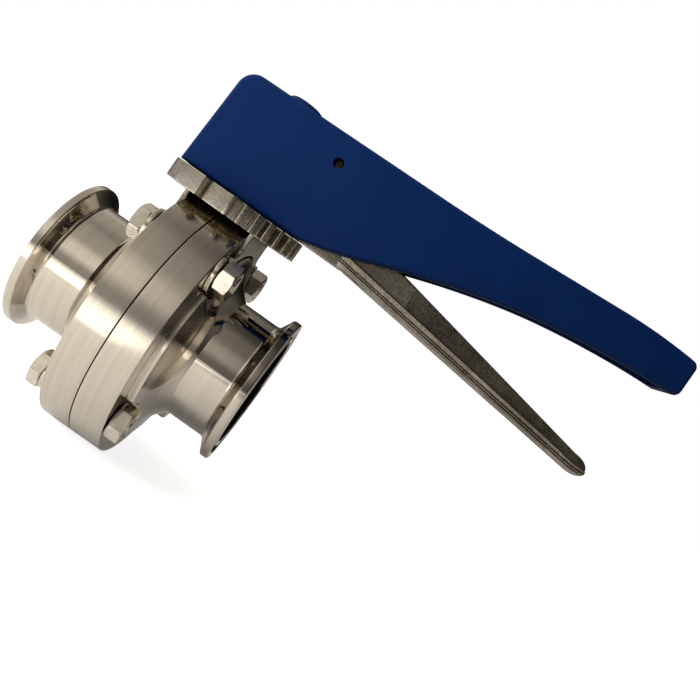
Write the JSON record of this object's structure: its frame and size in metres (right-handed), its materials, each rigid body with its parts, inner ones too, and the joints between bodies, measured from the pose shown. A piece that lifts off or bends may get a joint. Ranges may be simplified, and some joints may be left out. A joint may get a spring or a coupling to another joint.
{
  "type": "butterfly valve",
  "caption": "Hygienic butterfly valve with clamp ends, a disc on a vertical stem, and a squeeze-trigger handle that locks in steps on a toothed index plate.",
  "frame": {"origin": "where the pipe axis meets the stem axis, in the middle of the flange pair", "axes": "+X along the pipe axis and along the handle when the valve is open, +Z along the stem towards the handle, +Y across"},
  "size_m": [0.1778, 0.082, 0.1261],
  "materials": {
    "polished_steel": "turned and satin polished stainless steel, bright on the tubes, fine circular turning lines on the flanges",
    "cast_steel": "investment cast stainless steel, bead blasted, edges rubbed bright",
    "fastener_steel": "cold formed stainless steel, semi bright",
    "blue_plastic": "moulded navy blue plastic with a fine satin spark texture",
    "silicone": "smooth translucent white silicone rubber",
    "white_polymer": "machined white bearing polymer"
  },
  "bodies": {
    "valve_body": {"body_right": "polished_steel", "body_left": "polished_steel", "seat_ring": "silicone", "upper_bushing": "white_polymer", "lower_bushing": "white_polymer", "index_plate": "cast_steel", "bolt_upper_back": "fastener_steel", "nut_upper_back": "fastener_steel", "bolt_upper_front": "fastener_steel", "nut_upper_front": "fastener_steel", "bolt_lower_front": "fastener_steel", "nut_lower_front": "fastener_steel", "lock_washer_lower_front": "fastener_steel", "bolt_lower_back": "fastener_steel", "nut_lower_back": "fastener_steel", "lock_washer_lower_back": "fastener_steel"},
    "handle": {"disc_and_stem": "polished_steel", "stem_seal": "silicone", "handle_body": "blue_plastic", "drive_hub": "cast_steel", "head_washer": "fastener_steel", "head_screw": "fastener_steel", "screw_cap": "blue_plastic", "trigger_pin": "fastener_steel", "trigger_spring": "fastener_steel"},
    "trigger": {"trigger_lever": "cast_steel"}
  },
  "joints": [
    {"name": "handle_turn", "type": "hinge", "parent": "valve_body", "child": "handle", "pos_m": [0, 0, 0], "axis": [0, 0, 1], "range_deg": [-90, 0]},
    {"name": "trigger_squeeze", "type": "hinge", "parent": "handle", "child": "trigger", "pos_m": [0.01915, 0, 0.0709], "axis": [0, -1, 0], "range_deg": [0, 12], "stiffness_Nm_per_rad": 1.3, "springref_deg": -17.19, "deforming": ["trigger_spring"]}
  ]
}
